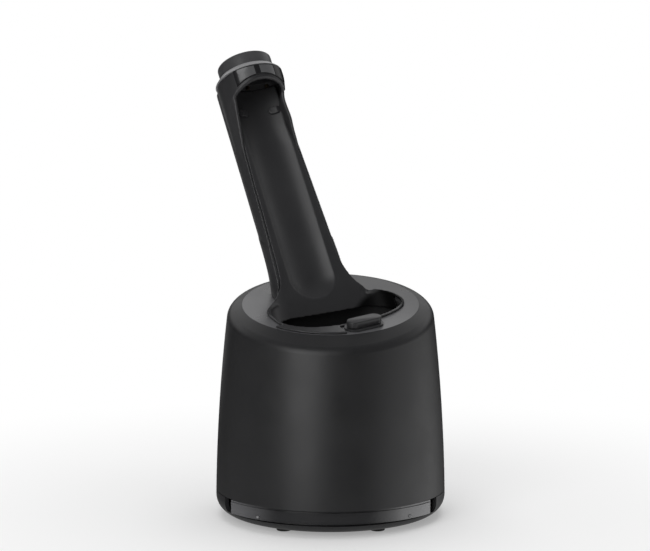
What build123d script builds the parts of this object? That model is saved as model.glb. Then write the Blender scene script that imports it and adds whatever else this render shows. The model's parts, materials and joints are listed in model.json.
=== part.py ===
from build123d import *
import math
import os

# Shaver cleaning and charging station, in millimetres.
# Origin: on the axis of the round housing, on the plane of the feet. +Z is up and -Y is the front.

# Base tray and feet
foot_height = 1.8
foot_radius = 4.0
foot_margin = 0.4
foot_angles = (60, 120, 240, 300)
centre_pad_radius = 12.0
tray_floor = 2.2
tray_wall = 2.2
tray_bottom_round = 9.5
seam_height = 14.5
seam_gap = 0.35
window_half_angle = 64.0
window_sill = 6.2

# Housing wall
seam_radius = 63.2
shoulder_radius = 57.6
shoulder_height = 102.5
wall_bow = 1.0
housing_wall = 2.5
shoulder_round = 5.5

# Slanted top: the deck plane and the band around it
deck_height = 116.2
deck_tilt = 14.5
deck_radius = 48.7
deck_thickness = 2.5
deck_ledge = 2.6
band_slope = 16.0
deck_fit = 0.1

# Well in the deck, in the deck's own plane, turned to the right
well_turn = 26.0
well_left = 37.5
well_right = 36.5
well_back = 9.5
well_corner = 17.0
well_front = 34.3
well_front_across = -10.0
well_left_centre = 16.0
well_right_centre = 10.5
bowl_wall = 1.5
bowl_depth = 24.0
bowl_flange = 4.6
bowl_flange_thickness = 2.0
gasket_thickness = 1.0
apron_depth = 7.2
apron_wall = 0.9
rim_height = 1.2
rim_width = 2.0
rim_back = 8.0
crescent_margin = 0.9
crescent_front = 21.0
crescent_end = 12.5

# Arm that carries the dock, leaning back from the deck
arm_lean = 41.0
arm_offset = -2.6
arm_radius = 21.4
arm_taper = 0.0254
arm_centre_depth = 2.9
arm_centre_drift = 0.0418
arm_wall = 2.0
arm_foot_height = 26.0
arm_foot_flare = 2.0
arm_foot_plate = 2.5
arm_low = -30.0
arm_foot_shares = (0.0, 0.25, 0.6, 1.0)
arm_screw_spacing = 22.0
arm_screw_front = 9.0
arm_screw_back = 24.0
panel_thickness = 2.0
panel_top_half = 14.4
panel_mid_half = 17.2
panel_mid_length = 70.0
panel_low = 14.0
panel_fit = 0.1
flank_right = ((18.6, 38.0), (20.4, 20.0), (24.0, 9.5), (29.0, 2.5), (34.0, -2.5), (39.5, -9.0))
flank_left = ((-39.5, -9.0), (-33.0, -2.5), (-25.5, 3.5), (-20.6, 10.0), (-18.7, 20.0), (-18.0, 38.0))
wing_wall = 2.0
wing_front = 5.0
trough_half = 13.8
trough_depth = 4.5
trough_wall = 1.6
lug_length = 7.0
lug_width = 4.2
lug_height = 1.6
lug_place = 119.0
lug_half_spacing = 10.0

# Head at the top of the arm
head_depth = 0.5
head_offset = -0.6
head_radius = 19.4
head_split = 8.5
head_top = 139.0
ceiling_bottom = 134.7
ceiling_thickness = 2.0
lip_length = 119.5
lip_slope = 0.6
head_wall = 2.0
cover_thickness = 1.0
fascia_thickness = 0.6
fascia_half_angle = 66.0
fascia_lip = 1.2
ring_height = 3.4
ring_edge = 0.9
ring_step = 2.0
button_radius = 16.0
button_height = 11.4
button_round = 1.2
button_gap = 0.3
button_travel = 1.2
button_wall = 1.8
button_flange = 0.7
button_flange_thickness = 1.4
flange_gap = 0.3
button_post_radius = 2.0
board_thickness = 1.2
switch_side = 6.0
switch_height = 1.5
press_spring_wire = 0.8
contact_half_spacing = 6.0
contact_depth = -6.3
contact_block_height = 3.0
contact_block_width = 5.6
contact_block_margin = 2.4
contact_radius = 1.2
contact_fit = 0.06
contact_reach = 1.6
contact_travel = 1.2
contact_spring_room = 0.9

# Cartridge bay
tank_gap = 0.3
tank_side_flat = 2.9
tank_post_gap = 6.6
tank_height = 34.6
tank_wall = 1.6
lid_thickness = 2.0
strip_radius = 66.0
strip_recess = 3.7
strip_side_inset = 10.0
strip_gap = 0.3
strip_depth = 6.4
ridge_proud = 0.6
ridge_height = 1.0
ridge_drop = 1.0
filter_radius = 13.0
filter_height = 22.0

# Lift guides between the base and the housing
lift_travel = 46.0
post_radius = 4.0
post_side_inset = 22.4
post_back_inset = 19.6
post_flange_radius = 6.2
post_flange_thickness = 2.0
post_fit = 0.06
sleeve_wall = 2.4
sleeve_length = 14.0
stop_radius = 6.5
stop_thickness = 2.5
stop_gap = 0.5
lift_spring_wire = 1.2
lift_spring_gap = 0.8
lift_spring_turns = 7
coil_points = 48

# Chassis, pump and pipes
chassis_height = 44.0
chassis_thickness = 2.5
chassis_gap = 0.2
boss_radius = 3.5
boss_inset = 3.2
boss_height = 13.0
boss_angles = (20, 160, 215, 325)
screw_radius = 1.5
screw_head_radius = 2.9
screw_head_height = 2.0
screw_length = 12.0
screw_fit = 0.05
pump_x = -22.0
pump_y = 10.0
pump_radius = 15.0
pump_height = 10.5
pump_wall = 2.0
pump_nozzle_radius = 4.0
pump_nozzle_length = 5.0
impeller_radius = 10.5
impeller_gap = 1.0
impeller_blades = 6
blade_thickness = 1.4
shaft_radius = 1.5
shaft_fit = 0.05
shaft_end = 1.5
motor_radius = 12.0
motor_height = 23.0
motor_wall = 1.2
magnet_thickness = 1.6
armature_gap = 0.6
end_cap_thickness = 2.0
seal_height = 1.5
seal_radius = 4.0
intake_radius = 3.0
intake_wall = 1.0
intake_bottom = 8.0
pipe_clearance = 1.6
drain_across = 8.0
drain_front = 24.0
drain_radius = 4.5
drain_wall = 1.25
drain_boss_radius = 7.0
drain_boss_bottom = 79.0
drain_bottom = 35.0
delivery_radius = 2.2
delivery_wall = 0.6
delivery_bend = 8.0
spout_front = 40.0
spout_length = 20.0
spout_width = 8.0
spout_height = 5.0
spout_turn = 6.0
spout_flange = 1.6
spout_round = 1.8

# Electrics
main_board_width = 48.0
main_board_height = 37.0
main_board_thickness = 1.6
main_board_inset = 23.2
socket_height = 66.0
socket_width = 16.0
socket_tall = 12.0
socket_wall = 1.2
socket_depth = 9.0
socket_recess = 0.6
socket_fit = 0.15
socket_pin_radius = 0.8
socket_pin_spacing = 7.0
socket_pin_length = 8.0
cable_radius = 1.5
cable_depth = 12.5
cable_bend = 9.0
cable_drop = 6.0

# Lift button at the rear, with its latch
lift_button_height = 34.0
lift_button_width = 18.0
lift_button_tall = 10.0
lift_button_proud = 0.8
lift_button_gap = 0.3
lift_button_travel = 2.5
lift_flange = 2.0
lift_flange_thickness = 1.6
lift_flange_gap = 0.5
hook_width = 5.0
hook_thickness = 2.5
hook_nose = 0.6
hook_nose_height = 3.0
hook_bottom = 15.0
hook_gap = 1.0
catch_thickness = 2.2
catch_margin = 1.0
catch_top = 20.0
bracket_thickness = 2.0
bracket_width = 16.0
bracket_clear = 2.5
return_spring_radius = 3.2
return_spring_wire = 0.8

# Worked-out heights and frames
tray_bottom = foot_height
floor_top = tray_bottom + tray_floor
tray_top = seam_height - seam_gap
tank_top = floor_top + tank_height
lid_top = tank_top + lid_thickness
chassis_top = chassis_height + chassis_thickness
pump_top = chassis_top + pump_height
motor_top = pump_top + motor_height
flat_radius = seam_radius - tray_bottom_round
button_top = head_top + button_height
post_x = flat_radius - post_side_inset
post_y = flat_radius - post_back_inset
tank_radius = flat_radius - tank_gap
tank_half_width = tank_radius - tank_side_flat
tank_back = post_y - post_flange_radius - tank_post_gap
strip_front = seam_radius - strip_recess
strip_half_width = seam_radius - strip_side_inset
main_board_y = seam_radius - main_board_inset
ceiling_top = ceiling_bottom + ceiling_thickness
reach = 400.0

tilt = math.radians(deck_tilt)
turn = math.radians(well_turn)
lean = math.radians(arm_lean)
deck_right = Vector(1, 0, 0)
deck_back = Vector(0, math.cos(tilt), math.sin(tilt))
deck_normal = Vector(0, -math.sin(tilt), math.cos(tilt))
across = deck_right * math.cos(turn) + deck_back * math.sin(turn)
facing = deck_right * math.sin(turn) - deck_back * math.cos(turn)
along = deck_normal * math.cos(lean) - facing * math.sin(lean)
deck_centre = Vector(0, 0, deck_height)
arm_root = deck_centre - facing * well_back + across * arm_offset

round_frame = Plane(origin=deck_centre, x_dir=deck_right, z_dir=deck_normal)
deck_frame = Plane(origin=deck_centre, x_dir=across, z_dir=deck_normal)
arm_frame = Plane(origin=arm_root, x_dir=across, z_dir=along)
lip_frame = Plane(origin=(0, 0, lip_length), x_dir=(1, 0, 0), z_dir=(0, lip_slope, 1))

UP = (Align.CENTER, Align.CENTER, Align.MIN)
BACK = (Align.CENTER, Align.MIN, Align.CENTER)
FRONT = (Align.CENTER, Align.MAX, Align.CENTER)


# Common shapes
def rod(radius, bottom, top, x=0.0, y=0.0):
    return Pos(x, y, bottom) * Cylinder(radius, top - bottom, align=UP)


def tube(outer, inner, bottom, top, x=0.0, y=0.0):
    return rod(outer, bottom, top, x, y) - rod(inner, bottom, top, x, y)


def slab(size_x, size_y, bottom, top, x=0.0, y=0.0):
    return Pos(x, y, bottom) * Box(size_x, size_y, top - bottom, align=UP)


def on_arm(shape):
    return arm_frame.location * shape


def on_deck(shape):
    return deck_frame.location * shape


def group(shapes):
    return Compound(children=list(shapes))


def polar(radius, angle):
    return radius * math.cos(math.radians(angle)), radius * math.sin(math.radians(angle))


def coil(radius, wire, bottom, top, turns):
    height = top - bottom - wire
    path = Helix(pitch=height / turns, height=height, radius=radius)
    places = [path.position_at(index / (coil_points * turns)) for index in range(coil_points * turns + 1)]
    gaps = [(place - other).length - wire for place, other in zip(places, places[coil_points:])]
    print("least gap between turns", round(min(gaps), 2))
    section = (path ^ 0) * Circle(wire / 2)
    return Pos(0, 0, bottom + wire / 2) * sweep(section, path=path)


# Housing shapes
def wall_radius(height):
    share = (height - seam_height) / (shoulder_height - seam_height)
    return seam_radius - (seam_radius - shoulder_radius) * share + 4 * wall_bow * share * (1 - share)


def wall_solid(inset, bottom, top):
    middle = (bottom + top) / 2
    start = (wall_radius(bottom) - inset, bottom)
    end = (wall_radius(top) - inset, top)
    edges = [
        Line((0, bottom), start),
        Spline(start, (wall_radius(middle) - inset, middle), end),
        Line(end, (0, top)),
        Line((0, top), (0, bottom)),
    ]
    return revolve(Plane.XZ * make_face(edges), Axis.Z)


def slanted_cap(drop):
    span = seam_radius
    fall = span * math.tan(math.radians(band_slope))
    outline = Polyline(
        (0, -drop),
        (deck_radius, -drop),
        (deck_radius + span, -drop - fall),
        (deck_radius + span, -reach),
        (0, -reach),
        close=True,
    )
    return round_frame.location * revolve(Plane.XZ * make_face(outline), Axis.Z)


def deck_disc(radius, bottom, top):
    return round_frame.location * rod(radius, bottom, top)


# Well outline in the deck's plane, grown by a margin
def well_outline(grow):
    left = -well_left - grow
    right = well_right + grow
    corner = well_corner + grow
    back = well_back + grow
    corner_y = back - corner
    bend = corner * math.sqrt(0.5)
    front = well_front + grow
    middle = well_front_across
    left_corner = left + corner
    right_corner = right - corner
    left_depth = front - well_left_centre
    right_depth = front - well_right_centre
    edges = [
        Line((left_corner, back), (right_corner, back)),
        ThreePointArc((right_corner, back), (right_corner + bend, corner_y + bend), (right, corner_y)),
        Line((right, corner_y), (right, -well_right_centre)),
        EllipticalCenterArc((middle, -well_right_centre), right - middle, right_depth, 270, arc_size=90),
        EllipticalCenterArc((middle, -well_left_centre), middle - left, left_depth, 180, arc_size=90),
        Line((left, -well_left_centre), (left, corner_y)),
        ThreePointArc((left, corner_y), (left_corner - bend, corner_y + bend), (left_corner, back)),
    ]
    return make_face(edges)


def well_prism(grow, bottom, top):
    return Pos(0, 0, bottom) * extrude(well_outline(grow), top - bottom)


def well_ring(inner, outer, bottom, top):
    return well_prism(outer, bottom, top) - well_prism(inner, bottom, top)


# Arm shapes, in the arm's own frame: X across, Y back from the front face, Z along the arm
def arm_section(length):
    return arm_radius - arm_taper * length, arm_centre_depth + arm_centre_drift * length


def arm_outline(inset, length):
    outer, depth = arm_section(length)
    radius = outer - inset
    front = math.sqrt(radius**2 - (depth - inset) ** 2)
    edges = [
        ThreePointArc((front, inset), (0, depth + radius), (-front, inset)),
        Line((-front, inset), (front, inset)),
    ]
    return Pos(0, 0, length) * make_face(edges)


def arm_prism(inset, bottom, top):
    return loft([arm_outline(inset, bottom), arm_outline(inset, top)])


# Section of the arm by a plane above the deck, widened where the arm flares at its foot
def foot_outline(height, flare):
    front_y = well_back + height * math.tan(lean)
    arc_radius, depth = arm_section(height / math.cos(lean))
    middle_y = front_y + depth / math.cos(lean)
    radius = arc_radius + flare
    front = math.sqrt(arc_radius**2 - depth**2) + flare
    edges = [
        EllipticalCenterArc((0, middle_y), radius, arc_radius / math.cos(lean) + flare, 0, arc_size=180),
        Line((-radius, middle_y), (-front, front_y)),
        Line((-front, front_y), (front, front_y)),
        Line((front, front_y), (radius, middle_y)),
    ]
    return Pos(arm_offset, 0, height) * make_face(edges)


def above_deck(height):
    return on_deck(slab(reach, reach, height, reach))


def arm_solid():
    prism = on_arm(arm_prism(0, arm_low, head_top)) & above_deck(arm_foot_height)
    sections = [
        foot_outline(share * arm_foot_height, arm_foot_flare * (1 - share) ** 3) for share in arm_foot_shares
    ]
    return prism + on_deck(loft(sections))


# Outline of the front panel on the arm's front face: X across, Y along the arm
def panel_outline(grow):
    top = ceiling_bottom - panel_fit
    right = [(panel_mid_half + grow, panel_mid_length)] + [(x + grow, y) for x, y in flank_right]
    left = [(x - grow, y) for x, y in flank_left] + [(-panel_mid_half - grow, panel_mid_length)]
    low_right = (right[-1][0], -panel_low)
    low_left = (left[0][0], -panel_low)
    edges = [
        Line((-panel_top_half - grow, top), (panel_top_half + grow, top)),
        Line((panel_top_half + grow, top), right[0]),
        Spline(*right, tangents=((0, -1), (1, -1.2))),
        Line(right[-1], low_right),
        Line(low_right, low_left),
        Line(low_left, left[0]),
        Spline(*left, tangents=((1, 1.2), (0, 1))),
        Line(left[-1], (-panel_top_half - grow, top)),
    ]
    return make_face(edges)


def panel_prism(grow, front, back):
    face = Plane(origin=(0, front, 0), x_dir=(1, 0, 0), z_dir=(0, -1, 0)) * panel_outline(grow)
    return extrude(face, back - front, dir=(0, 1, 0))


def trough_solid(grow):
    radius = (trough_half**2 + trough_depth**2) / (2 * trough_depth)
    axis_y = trough_depth - radius
    barrel = rod(radius + grow, trough_half, ceiling_bottom, 0, axis_y)
    return barrel + Pos(0, axis_y, trough_half) * Sphere(radius + grow)


def above_lip(rise):
    return lip_frame.location * slab(reach, reach, rise, reach)


def head_rod(radius, bottom, top):
    return rod(radius, bottom, top, head_offset, head_depth)


def front_half():
    return Pos(0, head_split, 0) * Box(reach, reach, reach, align=FRONT)


parts = {}

# Base tray with its window at the front and the catch for the latch at the back
tray_edges = [
    Line((0, tray_bottom), (flat_radius, tray_bottom)),
    RadiusArc(
        (flat_radius, tray_bottom),
        (seam_radius, tray_bottom + tray_bottom_round),
        -tray_bottom_round,
    ),
    Line((seam_radius, tray_bottom + tray_bottom_round), (seam_radius, tray_top)),
    Line((seam_radius, tray_top), (seam_radius - tray_wall, tray_top)),
    Line((seam_radius - tray_wall, tray_top), (seam_radius - tray_wall, tray_bottom + tray_bottom_round)),
    RadiusArc(
        (seam_radius - tray_wall, tray_bottom + tray_bottom_round),
        (flat_radius, floor_top),
        tray_bottom_round - tray_wall,
    ),
    Line((flat_radius, floor_top), (0, floor_top)),
    Line((0, floor_top), (0, tray_bottom)),
]
base_tray = revolve(Plane.XZ * make_face(tray_edges), Axis.Z)
window_x = reach * math.sin(math.radians(window_half_angle))
window_y = -reach * math.cos(math.radians(window_half_angle))
window_line = Polyline((0, 0), (-window_x, window_y), (0, -reach), (window_x, window_y), close=True)
base_tray -= Pos(0, 0, window_sill) * extrude(make_face(window_line), reach)
lift_flange_half = lift_button_width / 2 + lift_flange
lift_flange_top = lift_button_height + lift_button_tall / 2 + lift_flange
lift_flange_radius = wall_radius(lift_flange_top) - housing_wall
lift_flange_back = math.sqrt(lift_flange_radius**2 - lift_flange_half**2) - lift_flange_gap
hook_back = lift_flange_back - lift_flange_thickness
catch_front = hook_back + hook_gap
catch_width = hook_width + 2 * catch_margin
base_tray += slab(catch_width, catch_thickness, floor_top, catch_top, 0, catch_front + catch_thickness / 2)
parts["base_tray"] = base_tray

foot_ring_radius = flat_radius - foot_radius - foot_margin
foot_places = [polar(foot_ring_radius, angle) for angle in foot_angles]
feet = [rod(foot_radius, 0, foot_height, x, y) for x, y in foot_places]
parts["feet"] = group(feet + [rod(centre_pad_radius, 0, foot_height)])

# Cartridge with its visible front strip, its lid and its filter
intake_bore = intake_radius - intake_wall
intake_hole = intake_radius + pipe_clearance
drain_place = deck_centre + across * drain_across + facing * drain_front - deck_normal * bowl_depth
drain_hole = drain_radius + pipe_clearance


def tank_solid(inset, bottom, top):
    block = slab(2 * (tank_half_width - inset), reach, bottom, top, 0, tank_back - inset - reach / 2)
    return rod(tank_radius - inset, bottom, top) & block


def strip_solid(proud, bottom, top):
    arc_centre = strip_radius - strip_front
    front = rod(strip_radius + proud, bottom, top, 0, arc_centre)
    side = math.sqrt(strip_radius**2 - strip_half_width**2) - arc_centre
    block = slab(2 * strip_half_width, reach, bottom, top, 0, strip_depth - side - reach / 2)
    return front & block


strip_bottom = window_sill + strip_gap
strip_top = tray_top - strip_gap
ridge_top = strip_top - ridge_drop
cartridge_body = tank_solid(0, floor_top, tank_top) + strip_solid(0, strip_bottom, strip_top)
cartridge_body += strip_solid(ridge_proud, ridge_top - ridge_height, ridge_top)
cartridge_body -= tank_solid(tank_wall, floor_top + tank_wall, reach)
parts["cartridge_body"] = cartridge_body

cartridge_lid = tank_solid(0, tank_top, lid_top)
cartridge_lid -= rod(intake_hole, 0, reach, pump_x, pump_y)
cartridge_lid -= rod(drain_hole, 0, reach, drain_place.X, drain_place.Y)
parts["cartridge_lid"] = cartridge_lid
filter_bottom = floor_top + tank_wall
parts["cartridge_filter"] = rod(
    filter_radius, filter_bottom, filter_bottom + filter_height, drain_place.X, drain_place.Y
)

# Lift guides: posts on the tray, sleeves under the chassis, springs between them
post_places = [(-post_x, post_y), (post_x, post_y)]
stop_bottom = chassis_top + lift_travel + stop_gap
post_flange_top = floor_top + post_flange_thickness
sleeve_bottom = chassis_height - sleeve_length
sleeve_bore = post_radius + post_fit
spring_radius = post_radius + lift_spring_gap + lift_spring_wire / 2
posts = []
sleeves = []
stops = []
springs = []
lift_coil = coil(spring_radius, lift_spring_wire, post_flange_top, sleeve_bottom, lift_spring_turns)
for x, y in post_places:
    flange = rod(post_flange_radius, floor_top, post_flange_top, x, y)
    posts.append(rod(post_radius, floor_top, stop_bottom, x, y) + flange)
    sleeves.append(tube(sleeve_bore + sleeve_wall, sleeve_bore, sleeve_bottom, chassis_height, x, y))
    stops.append(rod(stop_radius, stop_bottom, stop_bottom + stop_thickness, x, y))
    springs.append(Pos(x, y, 0) * lift_coil)
parts["guide_posts"] = group(posts)
parts["guide_sleeves"] = group(sleeves)
parts["post_stops"] = group(stops)
parts["lift_springs"] = group(springs)

# Housing shell with its slanted rim, screw bosses and rear openings
housing_outer = wall_solid(0, seam_height, reach / 2) & slanted_cap(0)
upper_edges = [edge for edge in housing_outer.edges() if edge.center().Z > chassis_top]
rim_edge = max(upper_edges, key=lambda edge: edge.length)
housing_outer = fillet(rim_edge, shoulder_round)
rim_thickness = deck_thickness + deck_ledge
housing_inner = wall_solid(housing_wall, seam_height, reach / 2) & slanted_cap(rim_thickness)
housing_shell = housing_outer - housing_inner
housing_shell -= deck_disc(deck_radius, -deck_thickness, reach)
housing_shell -= deck_disc(deck_radius - deck_ledge, -rim_thickness - deck_ledge, reach)
boss_ring = wall_radius(chassis_top) - housing_wall - boss_inset
boss_places = [polar(boss_ring, angle) for angle in boss_angles]
boss_bore = screw_radius + screw_fit
for x, y in boss_places:
    boss = rod(boss_radius, chassis_top, chassis_top + boss_height, x, y)
    housing_shell += boss & wall_solid(housing_wall / 2, seam_height, reach / 2)
for x, y in boss_places:
    housing_shell -= rod(boss_bore, chassis_top, chassis_top + boss_height - housing_wall, x, y)
socket_hole = Box(socket_width + 2 * socket_fit, reach, socket_tall + 2 * socket_fit, align=BACK)
housing_shell -= Pos(0, main_board_y, socket_height) * socket_hole


def pill_block(width, tall, front, back, height):
    face = Plane(origin=(0, front, height), x_dir=(1, 0, 0), z_dir=(0, -1, 0)) * SlotOverall(width, tall)
    return extrude(face, back - front, dir=(0, 1, 0))


housing_shell -= pill_block(
    lift_button_width + 2 * lift_button_gap,
    lift_button_tall + 2 * lift_button_gap,
    main_board_y,
    reach,
    lift_button_height,
)
parts["housing_shell"] = housing_shell

# Deck plate with the well, the cable hole, the spout hole and the arm's screw holes
cable_hole = cable_radius + pipe_clearance
cable_way = on_arm(rod(cable_hole, -reach / 8, reach / 8, 0, cable_depth))
arm_screw_places = [
    (arm_offset - arm_screw_spacing / 2, well_back + arm_screw_front),
    (arm_offset + arm_screw_spacing / 2, well_back + arm_screw_front),
    (arm_offset, well_back + arm_screw_back),
]
deck_plate = round_frame.location * rod(deck_radius - deck_fit, -deck_thickness, 0)
deck_plate -= on_deck(well_prism(apron_wall + 2 * deck_fit, -reach / 8, reach))
deck_plate -= on_deck(rod(delivery_radius, -reach / 8, reach, 0, -spout_front))
deck_plate -= cable_way
for x, y in arm_screw_places:
    deck_plate -= on_deck(rod(boss_bore, -reach / 8, reach, x, y))
parts["deck_plate"] = deck_plate

# Bowl under the deck, with its flange, its gasket and its drain
flange_top = -deck_thickness - gasket_thickness
bowl_bore = apron_wall + deck_fit
pipe_room = delivery_radius + deck_fit
flange_zone = rod(deck_radius - deck_ledge - deck_fit, -bowl_depth, 0)
flange_zone -= rod(pipe_room, -bowl_depth, 0, 0, -spout_front)
bowl = on_deck(well_prism(bowl_bore + bowl_wall, -bowl_depth - bowl_wall, flange_top))
bowl += on_deck(flange_zone & well_prism(bowl_flange, flange_top - bowl_flange_thickness, flange_top))
bowl += rod(drain_boss_radius, drain_boss_bottom, drain_place.Z, drain_place.X, drain_place.Y)
bowl -= on_deck(well_prism(bowl_bore, -bowl_depth, reach))
bowl -= rod(drain_radius - drain_wall, 0, reach / 2, drain_place.X, drain_place.Y)
parts["bowl"] = bowl
gasket = well_ring(bowl_bore, bowl_flange, flange_top, -deck_thickness)
parts["bowl_gasket"] = on_deck(gasket & flange_zone)

# Arm: the back shell stands on the deck, and the front panel runs down into the well
arm_outer = arm_solid()
arm_inner = on_arm(arm_prism(arm_wall, arm_low, head_top)) & above_deck(arm_foot_plate)
head_front = on_arm(above_lip(0) & front_half())
head_inner = head_radius - head_wall
flange_bore = button_radius + button_flange + flange_gap
head_cover = slab(reach, reach, head_top - cover_thickness, reach) - head_rod(flange_bore, 0, reach)
arm_back_shell = arm_outer - (arm_inner - on_arm(head_cover)) - head_front
arm_back_shell -= on_arm(panel_prism(panel_fit, -reach / 8, panel_thickness + panel_fit))
arm_back_shell -= on_arm(trough_solid(trough_wall + panel_fit))
arm_back_shell -= cable_way
arm_back_shell -= on_deck(well_prism(rim_width + panel_fit, -reach / 8, rim_height + panel_fit))
for x, y in arm_screw_places:
    arm_back_shell -= on_deck(rod(boss_bore, -reach / 8, arm_foot_plate, x, y))
parts["arm_back_shell"] = arm_back_shell

panel_zone = on_arm(panel_prism(0, -reach / 8, reach / 8))
panel_plate = on_arm(panel_prism(0, 0, panel_thickness)) & arm_outer
rear_half = Pos(0, -wing_front) * Rectangle(reach, reach, align=(Align.CENTER, Align.MIN))
wing_face = deck_frame * ((well_outline(wing_wall) - well_outline(0)) & rear_half)
wings = extrude(wing_face, reach / 4, dir=along) & panel_zone
apron_face = deck_frame * ((well_outline(apron_wall) - well_outline(0)) & rear_half)
apron = extrude(apron_face, apron_depth / math.cos(lean), dir=-along)
dish = on_arm(trough_solid(trough_wall) & panel_prism(-1, panel_thickness - panel_fit, reach / 8))
dish_room = Pos(0, -arm_wall, 0) * arm_prism(arm_wall + panel_fit, arm_low, ceiling_bottom - panel_fit)
dish &= on_arm(dish_room) & above_deck(0)
front_zone = Pos(0, rim_back, 0) * Box(reach, reach, reach, align=FRONT)
rim = well_ring(0, rim_width, 0, rim_height) & front_zone
crescent = rod(deck_radius - crescent_margin, 0, rim_height) & Pos(-crescent_end, -crescent_front, 0) * Box(
    reach, reach, reach, align=(Align.MAX, Align.MAX, Align.CENTER)
)
skirt = on_deck(rim + (crescent - well_prism(0, -reach, reach)))
arm_front_shell = panel_plate + wings + dish + skirt + apron
arm_front_shell -= on_arm(trough_solid(0))
parts["arm_front_shell"] = arm_front_shell

lug_face = Plane(origin=(0, 0, 0), x_dir=(1, 0, 0), z_dir=(0, -1, 0)) * SlotOverall(lug_length, lug_width)
lugs = []
for side in (-1, 1):
    blank = extrude(Pos(side * lug_half_spacing, 0, lug_place) * lug_face, trough_depth, dir=(0, 1, 0))
    lugs.append(on_arm(blank & (trough_solid(0) - trough_solid(-lug_height))))
parts["dock_lugs"] = group(lugs)

arm_screws = []
for x, y in arm_screw_places:
    head = rod(screw_head_radius, -deck_thickness - screw_head_height, -deck_thickness, x, y)
    arm_screws.append(on_deck(head + rod(screw_radius, -deck_thickness, arm_foot_plate, x, y)))
parts["arm_screws"] = group(arm_screws)

# Head: front shell with the ceiling, glossy fascia, light ring, start button and its switch
head_shell = head_rod(head_radius, 0, head_top) & above_lip(0) & front_half()
head_shell -= head_rod(head_inner, 0, reach)
contact_bores = [
    rod(contact_radius + contact_fit, 0, ceiling_bottom, side * contact_half_spacing, contact_depth)
    for side in (-1, 1)
]
ceiling = head_rod(head_inner, ceiling_bottom, ceiling_top) & front_half()
head_shell += ceiling + head_rod(head_inner - panel_fit, ceiling_bottom, ceiling_top)
parts["head_shell"] = on_arm(head_shell)

ring_radius = head_radius + fascia_thickness
fascia = head_rod(ring_radius, 0, head_top) - head_rod(head_radius, 0, head_top)
fascia_x = reach * math.sin(math.radians(fascia_half_angle))
fascia_y = -reach * math.cos(math.radians(fascia_half_angle))
fascia_line = Polyline((0, 0), (-fascia_x, fascia_y), (0, -reach), (fascia_x, fascia_y), close=True)
fascia_sector = Pos(head_offset, head_depth, 0) * extrude(make_face(fascia_line), reach)
parts["head_fascia"] = on_arm(fascia & fascia_sector & above_lip(fascia_lip))

ring_top = head_top + ring_height
ring_bore = button_radius + button_gap
ring_cone = Cone(ring_radius, ring_bore + ring_edge, ring_height, align=UP)
light_ring = Pos(head_offset, head_depth, head_top) * ring_cone
light_ring -= head_rod(ring_bore, head_top, ring_top)
light_ring -= head_rod(flange_bore, head_top, head_top + ring_step)
parts["light_ring"] = on_arm(light_ring)

board_top = ceiling_top + board_thickness
button_flange_top = head_top + ring_step - flange_gap
button_flange_bottom = button_flange_top - button_flange_thickness
press_post_bottom = board_top + switch_height + button_travel + flange_gap
start_button = head_rod(button_radius, button_flange_bottom, button_top)
start_button = fillet(start_button.faces().sort_by(Axis.Z)[-1].edges(), button_round)
start_button += head_rod(button_radius + button_flange, button_flange_bottom, button_flange_top)
start_button -= head_rod(button_radius - button_wall, button_flange_bottom, button_top - button_wall)
start_button += head_rod(button_post_radius, press_post_bottom, button_top - button_wall / 2)
parts["start_button"] = on_arm(start_button)

parts["indicator_board"] = on_arm(head_rod(head_inner - panel_fit, ceiling_top, board_top))
parts["button_switch"] = on_arm(
    slab(switch_side, switch_side, board_top, board_top + switch_height, head_offset, head_depth)
)
press_spring_radius = button_radius - button_wall - press_spring_wire
parts["button_spring"] = on_arm(
    head_rod(press_spring_radius + press_spring_wire / 2, board_top, button_top - button_wall)
    - head_rod(press_spring_radius - press_spring_wire / 2, board_top, button_top - button_wall)
)

# Contacts under the ceiling, each pin with a spring behind it
block_bottom = ceiling_bottom - contact_block_height
contact_block = slab(
    2 * (contact_half_spacing + contact_block_margin),
    contact_block_width,
    block_bottom,
    ceiling_bottom,
    0,
    contact_depth,
)
for bore in contact_bores:
    contact_block -= bore
parts["contact_block"] = on_arm(contact_block)
pin_bottom = block_bottom - contact_reach
pin_top = ceiling_bottom - contact_spring_room - contact_travel
for name, side in (("left", -1), ("right", 1)):
    x = side * contact_half_spacing
    parts["contact_pin_" + name] = on_arm(rod(contact_radius, pin_bottom, pin_top, x, contact_depth))
    parts["contact_spring_" + name] = on_arm(
        tube(contact_radius, contact_radius / 2, pin_top, ceiling_bottom, x, contact_depth)
    )

# Chassis inside the housing, held by screws from below
chassis_radius = wall_radius(chassis_top) - housing_wall - chassis_gap
chassis = rod(chassis_radius, chassis_height, chassis_top)
for x, y in post_places:
    chassis -= rod(post_radius + pipe_clearance / 2, 0, reach, x, y)
for x, y in boss_places:
    chassis -= rod(boss_bore, 0, reach, x, y)
chassis -= rod(intake_radius, 0, reach, pump_x, pump_y)
chassis -= rod(drain_radius, 0, reach, drain_place.X, drain_place.Y)
parts["chassis_plate"] = chassis
parts["chassis_screws"] = group(
    rod(screw_head_radius, chassis_height - screw_head_height, chassis_height, x, y)
    + rod(screw_radius, chassis_height, chassis_height + screw_length, x, y)
    for x, y in boss_places
)

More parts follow.
